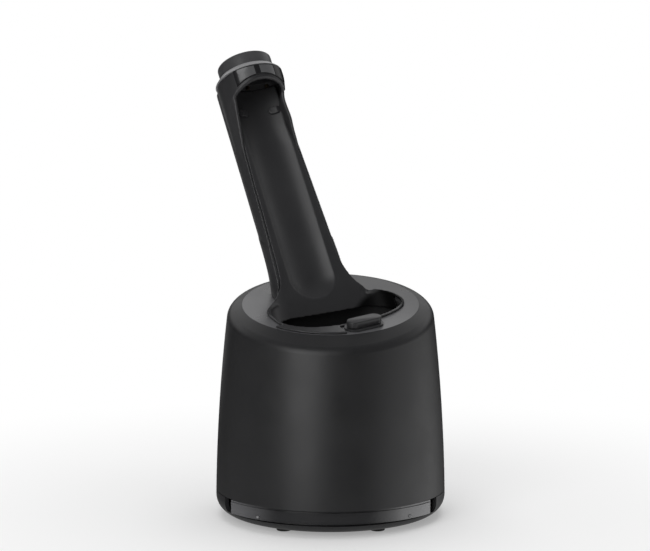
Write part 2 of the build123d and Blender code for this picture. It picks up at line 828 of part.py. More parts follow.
# Pump: chamber, impeller on the motor's shaft, shaft seal
spout_place = deck_centre + facing * spout_front
chamber_bottom = chassis_top + pump_wall
chamber_top = pump_top - pump_wall
nozzle_height = (chamber_bottom + chamber_top) / 2
pump_point = Vector(pump_x, pump_y, nozzle_height)
riser_point = Vector(spout_place.X, spout_place.Y, nozzle_height)
outflow = (riser_point - pump_point).normalized()
nozzle_plane = Plane(origin=pump_point, x_dir=(0, 0, 1), z_dir=outflow)
nozzle_end = pump_radius + pump_nozzle_length
delivery_bore = delivery_radius - delivery_wall
pump_housing = rod(pump_radius, chassis_top, pump_top, pump_x, pump_y)
pump_housing += nozzle_plane.location * rod(pump_nozzle_radius, 0, nozzle_end)
pump_housing -= rod(pump_radius - pump_wall, chamber_bottom, chamber_top, pump_x, pump_y)
pump_housing -= nozzle_plane.location * rod(delivery_bore, 0, nozzle_end)
pump_housing -= rod(intake_bore, 0, chamber_bottom, pump_x, pump_y)
pump_housing -= rod(shaft_radius + shaft_fit, chamber_top, reach, pump_x, pump_y)
parts["pump_housing"] = pump_housing

impeller_bottom = chamber_bottom + impeller_gap
impeller_top = chamber_top - impeller_gap
hub = tube(2 * shaft_radius, shaft_radius, impeller_bottom, impeller_top, pump_x, pump_y)
blade_start = 1.5 * shaft_radius
blade_length = impeller_radius - blade_start
blade_middle = blade_start + blade_length / 2
for index in range(impeller_blades):
    blade = slab(blade_length, blade_thickness, impeller_bottom, impeller_top, blade_middle)
    hub += Pos(pump_x, pump_y, 0) * Rot(0, 0, 360 * index / impeller_blades) * blade
parts["pump_impeller"] = hub

# Motor: can, magnets, armature on its shaft, end cap
can_inner = motor_radius - motor_wall
magnet_inner = can_inner - magnet_thickness
armature_radius = magnet_inner - armature_gap
armature_bottom = pump_top + motor_wall + seal_height + armature_gap
armature_top = motor_top - end_cap_thickness - armature_gap
motor_can = tube(motor_radius, can_inner, pump_top, motor_top, pump_x, pump_y)
motor_can += tube(motor_radius, seal_radius, pump_top, pump_top + motor_wall, pump_x, pump_y)
parts["motor_can"] = motor_can
parts["shaft_seal"] = tube(
    seal_radius, shaft_radius + shaft_fit, pump_top, pump_top + motor_wall + seal_height, pump_x, pump_y
)
parts["motor_magnets"] = tube(can_inner, magnet_inner, armature_bottom, armature_top, pump_x, pump_y)
parts["motor_armature"] = tube(armature_radius, shaft_radius, armature_bottom, armature_top, pump_x, pump_y)
parts["motor_shaft"] = rod(shaft_radius, impeller_bottom, motor_top + shaft_end, pump_x, pump_y)
parts["motor_end_cap"] = tube(
    can_inner, shaft_radius + shaft_fit, motor_top - end_cap_thickness, motor_top, pump_x, pump_y
)

# Pipes: intake into the cartridge, drain from the bowl, delivery to the spout
parts["intake_pipe"] = tube(intake_radius, intake_bore, intake_bottom, chassis_top, pump_x, pump_y)
parts["drain_pipe"] = tube(
    drain_radius, drain_radius - drain_wall, drain_bottom, drain_boss_bottom, drain_place.X, drain_place.Y
)
delivery_path = FilletPolyline(
    pump_point + outflow * nozzle_end,
    riser_point,
    Vector(riser_point.X, riser_point.Y, deck_height),
    radius=delivery_bend,
)


def swept_rod(path, radius):
    return sweep((path ^ 0) * Circle(radius), path=path)


under_deck = on_deck(slab(reach, reach, -reach, -deck_thickness))
delivery_pipe = swept_rod(delivery_path, delivery_radius) - swept_rod(delivery_path, delivery_bore)
parts["delivery_pipe"] = delivery_pipe & under_deck

spout_frame = Pos(0, -spout_front, 0) * Rot(0, 0, spout_turn)
spout_foot = SlotOverall(spout_length + 2 * spout_flange, spout_width + 2 * spout_flange)
spout_base = extrude(spout_foot, rim_height)
spout_cap = Pos(0, 0, rim_height) * extrude(SlotOverall(spout_length, spout_width), spout_height)
spout_cap = fillet(spout_cap.faces().sort_by(Axis.Z)[-1].edges(), spout_round)
rinse_spout = spout_frame * (spout_base + spout_cap)
rinse_spout += rod(delivery_radius, -deck_thickness, rim_height, 0, -spout_front)
rinse_spout -= rod(delivery_bore, -deck_thickness, spout_height / 2, 0, -spout_front)
rinse_spout -= well_prism(rim_width + deck_fit, -reach, rim_height)
parts["rinse_spout"] = on_deck(rinse_spout)
spout_grow = 2 * (spout_flange + deck_fit)
spout_slot = SlotOverall(spout_length + spout_grow, spout_width + spout_grow)
spout_room = spout_frame * extrude(spout_slot, spout_height)
parts["arm_front_shell"] -= on_deck(spout_room - well_prism(rim_width, -reach, reach))

# Electrics: main board, inlet with its pins, cable up the arm
board_back = main_board_y + main_board_thickness
socket_back = wall_radius(socket_height) - socket_recess
parts["main_board"] = slab(
    main_board_width,
    main_board_thickness,
    chassis_top,
    chassis_top + main_board_height,
    0,
    main_board_y + main_board_thickness / 2,
)
socket_length = socket_back - board_back
power_socket = Pos(0, board_back, socket_height) * Box(socket_width, socket_length, socket_tall, align=BACK)
cavity_front = socket_back - socket_depth
cavity = Box(socket_width - 2 * socket_wall, reach, socket_tall - 2 * socket_wall, align=BACK)
power_socket -= Pos(0, cavity_front, socket_height) * cavity
parts["power_socket"] = power_socket
pin_plane = Plane(origin=(0, cavity_front, socket_height), x_dir=(1, 0, 0), z_dir=(0, 1, 0))
parts["socket_pins"] = group(
    pin_plane.location * rod(socket_pin_radius, 0, socket_pin_length, side * socket_pin_spacing / 2)
    for side in (-1, 1)
)
cable_top = arm_frame.from_local_coords((0, cable_depth, ceiling_bottom))
cable_low = arm_frame.from_local_coords((0, cable_depth, cable_depth * math.tan(lean) - cable_drop))
cable_end = Vector(cable_low.X, main_board_y + main_board_thickness / 2, chassis_top + main_board_height)
cable_above = cable_end + Vector(0, 0, 2 * cable_bend)
cable_path = FilletPolyline(cable_top, cable_low, cable_above, cable_end, radius=cable_bend)
parts["arm_cable"] = swept_rod(cable_path, cable_radius)

# Lift button with its hook, its return spring and the bracket that backs it
button_back = wall_radius(lift_button_height) + lift_button_proud
lift_button = pill_block(lift_button_width, lift_button_tall, hook_back, button_back, lift_button_height)
lift_button += pill_block(
    lift_button_width + 2 * lift_flange,
    lift_button_tall + 2 * lift_flange,
    hook_back,
    lift_flange_back,
    lift_button_height,
)
hook_place = hook_back - hook_thickness / 2
nose_top = hook_bottom + hook_nose_height
lift_button += slab(hook_width, hook_thickness, hook_bottom, lift_button_height, 0, hook_place)
lift_button += slab(hook_width, hook_nose, hook_bottom, nose_top, 0, hook_back + hook_nose / 2)
parts["lift_button"] = lift_button
bracket_back = hook_back - hook_thickness - lift_button_travel - bracket_clear
parts["latch_bracket"] = slab(
    bracket_width,
    bracket_thickness,
    lift_button_height - lift_button_tall,
    chassis_height,
    0,
    bracket_back - bracket_thickness / 2,
)
spring_plane = Plane(origin=(0, bracket_back, lift_button_height), x_dir=(1, 0, 0), z_dir=(0, 1, 0))
parts["lift_button_spring"] = spring_plane.location * tube(
    return_spring_radius,
    return_spring_radius - return_spring_wire,
    0,
    hook_back - hook_thickness - bracket_back,
)

os.makedirs("parts", exist_ok=True)
for node, shape in parts.items():
    export_step(shape, f"parts/{node}.step")
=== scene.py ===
import bpy
import bmesh
import json
import math
from mathutils import Matrix, Vector


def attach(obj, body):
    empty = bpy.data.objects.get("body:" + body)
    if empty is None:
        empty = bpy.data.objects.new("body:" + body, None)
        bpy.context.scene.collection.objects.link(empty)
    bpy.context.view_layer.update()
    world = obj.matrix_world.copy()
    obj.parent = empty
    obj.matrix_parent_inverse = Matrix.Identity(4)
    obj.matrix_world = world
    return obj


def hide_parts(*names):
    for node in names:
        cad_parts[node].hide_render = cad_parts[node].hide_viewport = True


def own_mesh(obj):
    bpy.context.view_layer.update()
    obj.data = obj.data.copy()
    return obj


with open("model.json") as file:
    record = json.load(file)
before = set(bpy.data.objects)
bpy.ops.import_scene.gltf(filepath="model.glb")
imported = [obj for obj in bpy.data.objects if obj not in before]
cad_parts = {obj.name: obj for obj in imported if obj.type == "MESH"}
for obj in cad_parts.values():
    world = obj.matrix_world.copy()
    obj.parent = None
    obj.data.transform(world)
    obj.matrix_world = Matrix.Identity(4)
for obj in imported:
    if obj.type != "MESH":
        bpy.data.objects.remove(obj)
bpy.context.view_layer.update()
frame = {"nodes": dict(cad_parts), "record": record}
nodes = frame["nodes"]
mm = 0.001
print("frame loaded:", len(nodes), "nodes")


# camera at the photograph's angle: place and sensor in millimetres, focal length and width in pixels,
# clipping in metres
cameraSet = {
    "x": -3.02, "y": -850.0, "z": 201.4, "pitch": 4.712, "focal": 1554.1, "width": 650, "sensor": 36.0,
    "clipNear": 0.01, "clipFar": 50.0,
}


def makeCamera():
    data = bpy.data.cameras.new("photoCamera")
    data.sensor_width = cameraSet["sensor"]
    data.lens = cameraSet["focal"] / cameraSet["width"] * cameraSet["sensor"]
    data.clip_start = cameraSet["clipNear"]
    data.clip_end = cameraSet["clipFar"]
    camera = bpy.data.objects.new("photoCamera", data)
    bpy.context.scene.collection.objects.link(camera)
    camera.location = (cameraSet["x"] * mm, cameraSet["y"] * mm, cameraSet["z"] * mm)
    camera.rotation_euler = (math.radians(90 - cameraSet["pitch"]), 0, 0)
    bpy.context.scene.camera = camera


makeCamera()
print("camera set")


# soft boxes: place and size in metres, angle round the object from the camera's side
lampSet = {
    "keyLeft": {
        "angle": -27, "away": 1.3, "height": 0.55, "size": (0.8, 1.5), "watts": 10.0, "mirrored": True,
    },
    "rimRight": {
        "angle": 92, "away": 1.2, "height": 0.4, "size": (1.3, 1.5), "watts": 1.2, "mirrored": True,
    },
    "rimLeft": {
        "angle": -155, "away": 1.3, "height": 0.1, "size": (0.4, 0.4), "watts": 0.15, "mirrored": True,
    },
    "overhead": {
        "angle": 180, "away": 0.35, "height": 1.7, "size": (1.6, 1.6), "watts": 20.0, "mirrored": False,
    },
}
aimPoint = Vector((0, 0, 0.12))


def makeLamp(name, spec):
    data = bpy.data.lights.new(name, "AREA")
    data.shape = "RECTANGLE"
    data.size = spec["size"][0]
    data.size_y = spec["size"][1]
    data.energy = spec["watts"]
    lamp = bpy.data.objects.new(name, data)
    bpy.context.scene.collection.objects.link(lamp)
    bearing = math.radians(spec["angle"])
    lamp.location = (
        math.sin(bearing) * spec["away"], -math.cos(bearing) * spec["away"], spec["height"],
    )
    lamp.rotation_euler = (aimPoint - lamp.location).to_track_quat("-Z", "Y").to_euler()
    lamp.visible_camera = False
    lamp.visible_glossy = spec["mirrored"]


for lampName, lampSpec in lampSet.items():
    makeLamp(lampName, lampSpec)


# surroundings: white to the camera, and for reflections a glow behind, half way up, two panels low at the
# sides and a weak bounce from below
worldSet = {
    "fill": 0.3,
    "behind": {"axis": "Y", "stops": ((0.0, 0.03), (0.45, 0.03), (0.8, 0.75), (1.0, 0.75))},
    "halfWay": {"axis": "Z", "stops": ((0.0, 0.0), (0.62, 0.0), (0.72, 1.0), (0.82, 1.0), (0.92, 0.1))},
    "sides": {
        "axis": "X",
        "stops": ((0.0, 0.2), (0.05, 0.15), (0.13, 0.03), (0.78, 0.03), (0.93, 0.9), (1.0, 0.9)),
    },
    "low": {"axis": "Z", "stops": ((0.0, 1.0), (0.46, 1.0), (0.54, 0.0))},
    "bounce": {"axis": "Z", "stops": ((0.0, 0.3), (0.3, 0.25), (0.44, 0.0))},
}


def makeWorld():
    world = bpy.data.worlds.new("whiteStudio")
    bpy.context.scene.world = world
    world.use_nodes = True
    tree = world.node_tree
    tree.nodes.clear()
    link = tree.links.new
    output = tree.nodes.new("ShaderNodeOutputWorld")
    shade = tree.nodes.new("ShaderNodeBackground")
    shade.inputs["Color"].default_value = (1, 1, 1, 1)
    path = tree.nodes.new("ShaderNodeLightPath")
    place = tree.nodes.new("ShaderNodeTexCoord")
    split = tree.nodes.new("ShaderNodeSeparateXYZ")
    link(place.outputs["Generated"], split.inputs["Vector"])

    def glowBand(spec):
        share = tree.nodes.new("ShaderNodeMapRange")
        share.inputs["From Min"].default_value = -1.0
        band = tree.nodes.new("ShaderNodeValToRGB")
        band.color_ramp.interpolation = "EASE"
        for spot, level in spec["stops"]:
            stop = band.color_ramp.elements.new(spot)
            stop.color = (level, level, level, 1)
        band.color_ramp.elements.remove(band.color_ramp.elements[0])
        band.color_ramp.elements.remove(band.color_ramp.elements[-1])
        link(split.outputs[spec["axis"]], share.inputs["Value"])
        link(share.outputs["Result"], band.inputs["Fac"])
        return band.outputs["Color"]

    def joined(kind, first, second):
        step = tree.nodes.new("ShaderNodeMath")
        step.operation = kind
        link(first, step.inputs[0])
        link(second, step.inputs[1])
        return step.outputs["Value"]

    backGlow = joined("MULTIPLY", glowBand(worldSet["behind"]), glowBand(worldSet["halfWay"]))
    sideGlow = joined("MULTIPLY", glowBand(worldSet["sides"]), glowBand(worldSet["low"]))
    mirrored = joined("MAXIMUM", path.outputs["Is Glossy Ray"], path.outputs["Is Transmission Ray"])
    glossMix = tree.nodes.new("ShaderNodeMix")
    glossMix.inputs["A"].default_value = worldSet["fill"]
    cameraMix = tree.nodes.new("ShaderNodeMix")
    cameraMix.inputs["B"].default_value = 1.0
    link(mirrored, glossMix.inputs["Factor"])
    sideGlow = joined("ADD", sideGlow, glowBand(worldSet["bounce"]))
    link(joined("ADD", backGlow, sideGlow), glossMix.inputs["B"])
    link(path.outputs["Is Camera Ray"], cameraMix.inputs["Factor"])
    link(glossMix.outputs["Result"], cameraMix.inputs["A"])
    link(cameraMix.outputs["Result"], shade.inputs["Strength"])
    link(shade.outputs["Background"], output.inputs["Surface"])


makeWorld()


# pale floor that fades into the white surroundings and keeps the shadow under the object
floorSet = {
    "radius": 3.0, "sides": 96, "colour": (0.86, 0.86, 0.86, 1),
    "glowNear": 0.3, "glowFar": 1.0, "near": 0.08, "far": 0.4,
}


def makeFloor():
    bpy.ops.object.select_all(action="DESELECT")
    bpy.ops.mesh.primitive_circle_add(
        vertices=floorSet["sides"], radius=floorSet["radius"], fill_type="NGON",
    )
    floor = bpy.context.object
    floor.name = "floor"
    floor.visible_glossy = False
    material = bpy.data.materials.new("floorPaper")
    material.use_nodes = True
    tree = material.node_tree
    tree.nodes.clear()
    output = tree.nodes.new("ShaderNodeOutputMaterial")
    paper = tree.nodes.new("ShaderNodeBsdfDiffuse")
    paper.inputs["Color"].default_value = floorSet["colour"]
    glow = tree.nodes.new("ShaderNodeEmission")
    blend = tree.nodes.new("ShaderNodeMixShader")
    path = tree.nodes.new("ShaderNodeLightPath")
    place = tree.nodes.new("ShaderNodeTexCoord")
    distance = tree.nodes.new("ShaderNodeVectorMath")
    distance.operation = "LENGTH"
    fade = tree.nodes.new("ShaderNodeMapRange")
    fade.interpolation_type = "SMOOTHSTEP"
    fade.inputs["From Min"].default_value = floorSet["near"]
    fade.inputs["From Max"].default_value = floorSet["far"]
    fade.inputs["To Min"].default_value = floorSet["glowNear"]
    fade.inputs["To Max"].default_value = floorSet["glowFar"]
    seen = tree.nodes.new("ShaderNodeMath")
    seen.operation = "MULTIPLY"
    link = tree.links.new
    link(place.outputs["Object"], distance.inputs[0])
    link(distance.outputs["Value"], fade.inputs["Value"])
    link(fade.outputs["Result"], seen.inputs[0])
    link(path.outputs["Is Camera Ray"], seen.inputs[1])
    link(seen.outputs["Value"], blend.inputs["Fac"])
    link(paper.outputs["BSDF"], blend.inputs[1])
    link(glow.outputs["Emission"], blend.inputs[2])
    link(blend.outputs["Shader"], output.inputs["Surface"])
    floor.data.materials.append(material)


makeFloor()
print("studio ready")


# painted light and shade: colour and shine that rise or fall along one direction
def paintedLightAlong(tree, place, tint, shader, fade):
    link = tree.links.new
    way = tree.nodes.new("ShaderNodeVectorMath")
    way.operation = "DOT_PRODUCT"
    way.inputs[1].default_value = fade["way"]
    reach = tree.nodes.new("ShaderNodeMath")
    reach.operation = "ABSOLUTE" if fade["mirror"] else "ADD"
    reach.inputs[1].default_value = 0.0
    level = tree.nodes.new("ShaderNodeMapRange")
    level.interpolation_type = "SMOOTHSTEP"
    level.inputs["From Min"].default_value = fade["start"]
    level.inputs["From Max"].default_value = fade["end"]
    level.inputs["To Min"].default_value = fade["startLevel"]
    level.inputs["To Max"].default_value = fade["endLevel"]
    scaled = tree.nodes.new("ShaderNodeVectorMath")
    scaled.operation = "SCALE"
    shine = tree.nodes.new("ShaderNodeMath")
    shine.operation = "MULTIPLY"
    shine.use_clamp = True
    shine.inputs[1].default_value = shader.inputs["Specular IOR Level"].default_value
    link(place.outputs["Object"], way.inputs[0])
    link(way.outputs["Value"], reach.inputs[0])
    link(reach.outputs["Value"], level.inputs["Value"])
    link(tint.outputs["Result"], scaled.inputs["Vector"])
    link(level.outputs["Result"], scaled.inputs["Scale"])
    link(level.outputs["Result"], shine.inputs[0])
    link(scaled.outputs["Vector"], shader.inputs["Base Color"])
    link(shine.outputs["Value"], shader.inputs["Specular IOR Level"])


# every finish: two close colours that drift over the surface, a fine grain and an uneven sheen
plainFinish = {
    "driftScale": 60.0, "driftDetail": 4.0, "driftLow": 0.3, "driftHigh": 0.7, "roughSpread": 0.04,
    "grainScale": 3200.0, "grainDetail": 3.0, "grainRough": 0.6, "grainStrength": 0.12,
    "grainDepth": 0.00006, "specular": 0.5, "coat": 0.0, "coatRough": 0.05, "metallic": 0.0,
}


def makeFinish(name, changes):
    finish = {**plainFinish, **changes}
    material = bpy.data.materials.new(name)
    material.use_nodes = True
    tree = material.node_tree
    link = tree.links.new
    shader = tree.nodes["Principled BSDF"]
    place = tree.nodes.new("ShaderNodeTexCoord")
    drift = tree.nodes.new("ShaderNodeTexNoise")
    drift.inputs["Scale"].default_value = finish["driftScale"]
    drift.inputs["Detail"].default_value = finish["driftDetail"]
    tint = tree.nodes.new("ShaderNodeMix")
    tint.data_type = "RGBA"
    tint.inputs["A"].default_value = (*finish["dark"], 1)
    tint.inputs["B"].default_value = (*finish["light"], 1)
    grain = tree.nodes.new("ShaderNodeTexNoise")
    grain.inputs["Scale"].default_value = finish["grainScale"]
    grain.inputs["Detail"].default_value = finish["grainDetail"]
    grain.inputs["Roughness"].default_value = finish["grainRough"]
    sheen = tree.nodes.new("ShaderNodeMapRange")
    sheen.inputs["From Min"].default_value = finish["driftLow"]
    sheen.inputs["From Max"].default_value = finish["driftHigh"]
    sheen.inputs["To Min"].default_value = finish["rough"] - finish["roughSpread"]
    sheen.inputs["To Max"].default_value = finish["rough"] + finish["roughSpread"]
    bump = tree.nodes.new("ShaderNodeBump")
    bump.inputs["Strength"].default_value = finish["grainStrength"]
    bump.inputs["Distance"].default_value = finish["grainDepth"]
    link(place.outputs["Object"], drift.inputs["Vector"])
    link(place.outputs["Object"], grain.inputs["Vector"])
    link(drift.outputs["Fac"], tint.inputs["Factor"])
    link(tint.outputs["Result"], shader.inputs["Base Color"])
    shader.inputs["Specular IOR Level"].default_value = finish["specular"]
    if "fade" in finish:
        paintedLightAlong(tree, place, tint, shader, finish["fade"])
    link(drift.outputs["Fac"], sheen.inputs["Value"])
    link(sheen.outputs["Result"], shader.inputs["Roughness"])
    link(grain.outputs["Fac"], bump.inputs["Height"])
    link(bump.outputs["Normal"], shader.inputs["Normal"])
    shader.inputs["Coat Weight"].default_value = finish["coat"]
    shader.inputs["Coat Roughness"].default_value = finish["coatRough"]
    shader.inputs["Metallic"].default_value = finish["metallic"]
    return material


finishSet = {
    "housingMatt": {"dark": (0.014, 0.014, 0.015), "light": (0.018, 0.018, 0.019), "rough": 0.42},
    "deckSatinPaintedLight": {
        "dark": (0.075, 0.075, 0.078), "light": (0.09, 0.09, 0.094), "rough": 0.3,
        # painted highlight and shade: the deck's colour and shine are full at the left front and halve
        # towards the back right
        "fade": {
            "way": (0.7, 0.7, 0), "mirror": False, "start": -0.01, "end": 0.05,
            "startLevel": 1.0, "endLevel": 0.5,
        },
    },
    "bowlMatt": {"dark": (0.018, 0.018, 0.019), "light": (0.022, 0.022, 0.023), "rough": 0.5},
    "armMatt": {"dark": (0.023, 0.023, 0.0245), "light": (0.028, 0.028, 0.0295), "rough": 0.38},
    "panelMattPaintedShade": {
        "dark": (0.023, 0.023, 0.0245), "light": (0.028, 0.028, 0.0295), "rough": 0.38,
        # the arm's plastic with painted shade: on the low side of a slanted plane the panel's colour and
        # shine drop to a tenth
        "fade": {
            "way": (-0.5393, -0.505, 0.9022), "mirror": False, "start": 0.0854, "end": 0.0894,
            "startLevel": 0.1, "endLevel": 1.0,
        },
    },
    "fasciaGloss": {
        "dark": (0.012, 0.012, 0.013), "light": (0.014, 0.014, 0.015), "rough": 0.25, "roughSpread": 0.02,
        "grainStrength": 0.02, "specular": 0.2, "coat": 0.05,
    },
    # the fascia's two inset panels: real insets, their lighter grey painted reflection
    "fasciaPanelPaintedReflection": {
        "dark": (0.075, 0.076, 0.078), "light": (0.085, 0.086, 0.088), "rough": 0.3, "roughSpread": 0.02,
        "grainStrength": 0.03, "coat": 0.2,
    },
    "lightFrost": {"dark": (0.2, 0.2, 0.205), "light": (0.23, 0.23, 0.235), "rough": 0.35},
    "buttonSatin": {"dark": (0.045, 0.045, 0.047), "light": (0.055, 0.055, 0.057), "rough": 0.4},
    "cartridgeGlossPaintedHighlight": {
        "dark": (0.022, 0.022, 0.023), "light": (0.026, 0.026, 0.028), "rough": 0.2, "roughSpread": 0.03,
        "grainStrength": 0.03, "coat": 0.3,
        # painted highlight: towards both ends of the strip its colour rises to four and a half times and
        # its shine to full
        "fade": {
            "way": (1, 0, 0), "mirror": True, "start": 0.027, "end": 0.056,
            "startLevel": 1.0, "endLevel": 4.5,
        },
    },
    "footRubber": {"dark": (0.012, 0.012, 0.012), "light": (0.02, 0.02, 0.02), "rough": 0.75},
    "innerPlain": {"dark": (0.24, 0.24, 0.245), "light": (0.3, 0.3, 0.305), "rough": 0.45},
    "filterFelt": {
        "dark": (0.36, 0.36, 0.33), "light": (0.55, 0.55, 0.51), "rough": 0.9, "driftScale": 900.0,
        "grainScale": 1500.0, "grainStrength": 0.7, "grainDepth": 0.0004,
    },
    "pipeRubber": {"dark": (0.28, 0.28, 0.27), "light": (0.36, 0.36, 0.35), "rough": 0.5},
    "boardLacquer": {"dark": (0.02, 0.09, 0.04), "light": (0.03, 0.13, 0.06), "rough": 0.25},
    "magnetSinter": {"dark": (0.04, 0.04, 0.042), "light": (0.07, 0.07, 0.072), "rough": 0.6},
    "cableJacket": {"dark": (0.015, 0.015, 0.015), "light": (0.025, 0.025, 0.025), "rough": 0.55},
    "turnedSteel": {
        "dark": (0.42, 0.42, 0.43), "light": (0.55, 0.55, 0.56), "rough": 0.3, "metallic": 1.0,
        "driftScale": 400.0, "grainStrength": 0.2,
    },
    # contacts: metal darkened to a dull bronze, as painted shade for the recesses they sit in
    "contactMetalPaintedShade": {
        "dark": (0.07, 0.055, 0.035), "light": (0.1, 0.08, 0.05), "rough": 0.35, "metallic": 1.0,
        "driftScale": 400.0,
    },
}
finishes = {name: makeFinish(name, changes) for name, changes in finishSet.items()}

slotFinish = {
    "housing_plastic": "housingMatt",
    "deck_plastic": "deckSatinPaintedLight",
    "bowl_plastic": "bowlMatt",
    "arm_plastic": "armMatt",
    "fascia_plastic": "fasciaGloss",
    "light_plastic": "lightFrost",
    "button_plastic": "buttonSatin",
    "cartridge_plastic": "cartridgeGlossPaintedHighlight",
    "filter_fibre": "filterFelt",
    "inner_plastic": "innerPlain",
    "foot_rubber": "footRubber",
    "seal_rubber": "footRubber",
    "pipe_rubber": "pipeRubber",
    "steel": "turnedSteel",
    "spring_steel": "turnedSteel",
    "contact_brass": "contactMetalPaintedShade",
    "magnet_ceramic": "magnetSinter",
    "board_laminate": "boardLacquer",
    "cable_jacket": "cableJacket",
}
for subpart in frame["record"]["subparts"]:
    finishName = slotFinish[subpart["material_slot"]]
    piece = nodes[subpart["node"]]
    piece.data.materials.clear()
    piece.data.materials.append(finishes[finishName])
print("finishes given")


# the deck's, the arm's and the head's own frames: from here on sizes in millimetres, angles in degrees
frameSet = {
    "deckHeight": 116.2, "deckTilt": 14.5, "wellTurn": 26.0, "wellBack": 9.5,
    "armLean": 41.0, "armOffset": -2.6, "headAcross": -0.6, "headBack": 0.5,
}
tilt = math.radians(frameSet["deckTilt"])
turn = math.radians(frameSet["wellTurn"])
lean = math.radians(frameSet["armLean"])
deckRight = Vector((1, 0, 0))
deckBack = Vector((0, math.cos(tilt), math.sin(tilt)))
deckNormal = Vector((0, -math.sin(tilt), math.cos(tilt)))
across = deckRight * math.cos(turn) + deckBack * math.sin(turn)
facing = deckRight * math.sin(turn) - deckBack * math.cos(turn)
along = deckNormal * math.cos(lean) - facing * math.sin(lean)
deckCentre = Vector((0, 0, frameSet["deckHeight"]))
armRoot = deckCentre - facing * frameSet["wellBack"] + across * frameSet["armOffset"]


def frameMatrix(origin, xWay, zWay):
    spread = Matrix((xWay, zWay.cross(xWay), zWay)).transposed()
    return Matrix.Translation(origin * mm) @ spread.to_4x4()


deckFrame = frameMatrix(deckCentre, across, deckNormal)
armFrame = frameMatrix(armRoot, across, along)
headFrame = armFrame @ Matrix.Translation((frameSet["headAcross"] * mm, frameSet["headBack"] * mm, 0))


# common steps
stepSet = {"seamGap": 0.01, "softening": 0.5, "levelGap": 0.01, "facingUp": 0.9}


def pickOnly(piece):
    bpy.ops.object.select_all(action="DESELECT")
    piece.select_set(True)
    bpy.context.view_layer.objects.active = piece


def startEdit(piece):
    pickOnly(piece)
    bpy.ops.object.mode_set(mode="EDIT")
    bpy.ops.mesh.select_all(action="DESELECT")


def endEdit():
    bpy.ops.object.mode_set(mode="OBJECT")


def pickParts(piece, kind, test):
    bpy.ops.mesh.select_mode(type=kind)
    bpy.ops.mesh.select_all(action="DESELECT")
    shape = bmesh.from_edit_mesh(piece.data)
    for part in shape.faces if kind == "FACE" else shape.edges:
        part.select_set(test(part))
    bmesh.update_edit_mesh(piece.data)


def applyModifier(piece, kind, settings):
    pickOnly(piece)
    modifier = piece.modifiers.new(kind.lower(), kind)
    for key, value in settings.items():
        setattr(modifier, key, value)
    bpy.ops.object.modifier_apply(modifier=modifier.name)


def placeIn(piece, matrix):
    piece.matrix_world = matrix
    pickOnly(piece)
    bpy.ops.object.transform_apply(location=True, rotation=True, scale=True)


def smoothBy(piece, degrees):
    pickOnly(piece)
    bpy.ops.object.shade_smooth_by_angle(angle=math.radians(degrees))


def dressPiece(piece, spec):
    piece.data.materials.clear()
    for finishName in spec["finish"]:
        piece.data.materials.append(finishes[finishName])
    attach(piece, spec["body"])
    if spec["node"]:
        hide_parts(spec["node"])


# a copy of a solid with its seams joined up
def solidCopy(name, node):
    piece = bpy.data.objects.new(name, nodes[node].data.copy())
    bpy.context.scene.collection.objects.link(piece)
    startEdit(piece)
    bpy.ops.mesh.select_all(action="SELECT")
    bpy.ops.mesh.remove_doubles(threshold=stepSet["seamGap"] * mm)
    endEdit()
    return piece


# remeshed and smoothed, so that the edges are moulded and not sharp
def soften(piece, spec):
    applyModifier(piece, "REMESH", {"mode": "VOXEL", "voxel_size": spec["voxel"] * mm})
    applyModifier(piece, "SMOOTH", {"factor": stepSet["softening"], "iterations": spec["rounds"]})
    pickOnly(piece)
    bpy.ops.object.shade_smooth()
    print(piece.name, "softened:", len(piece.data.polygons), "faces")


def joinPieces(main, others):
    pickOnly(main)
    for other in others:
        other.select_set(True)
    bpy.ops.object.join()


# a ring drawn out step by step: pairs of radius and height, capped at both ends or joined into a tube
def ringStack(name, rings, sides, tube):
    bpy.ops.object.select_all(action="DESELECT")
    radius, height = rings[0]
    bpy.ops.mesh.primitive_circle_add(vertices=sides, radius=radius * mm, fill_type="NOTHING")
    piece = bpy.context.object
    piece.name = name
    startEdit(piece)
    bpy.ops.mesh.select_all(action="SELECT")
    bpy.ops.transform.translate(value=(0, 0, height * mm))
    for nextRadius, nextHeight in rings[1:]:
        rise = (0, 0, (nextHeight - height) * mm)
        share = nextRadius / radius
        bpy.ops.mesh.extrude_region_move(TRANSFORM_OT_translate={"value": rise})
        bpy.ops.transform.resize(value=(share, share, 1), center_override=(0, 0, nextHeight * mm))
        radius, height = nextRadius, nextHeight
    bpy.ops.mesh.select_all(action="DESELECT")
    bpy.ops.mesh.select_mode(type="EDGE")
    bpy.ops.mesh.select_non_manifold()
    if tube:
        bpy.ops.mesh.bridge_edge_loops()
    else:
        bpy.ops.mesh.fill_holes(sides=0)
    bpy.ops.mesh.select_all(action="SELECT")
    bpy.ops.mesh.normals_make_consistent(inside=False)
    endEdit()
    return piece


# the arm's panel and the lugs: moulded edges
softSet = {
    "armPanel": {"node": "arm_front_shell", "voxel": 0.48, "rounds": 8, "finish": ["panelMattPaintedShade"]},
    "dockLugs": {"node": "dock_lugs", "voxel": 0.2, "rounds": 8, "finish": ["armMatt"]},
}
for softName, softSpec in softSet.items():
    softPiece = solidCopy(softName, softSpec["node"])
    soften(softPiece, softSpec)
    dressPiece(softPiece, {**softSpec, "body": "housing", "slot": "arm_plastic"})


# back of the arm and front of the head as one skin: the head's sides run on down into the arm's sides
skinSet = {
    "nodes": ("arm_back_shell", "head_shell"), "body": "housing", "slot": "arm_plastic",
    "finish": "armMatt", "voxel": 0.62, "rounds": 4,
    "radii": (17.4, 19.4), "angles": range(58, 121, 10), "lip": 120.3, "lipSlope": 0.6, "low": 94.0,
    "lowEdge": ((16.1, 0.4), (17.3, 0.5), (18.4, 3.0), (18.6, 7.3), (16.5, 8.0)),
}
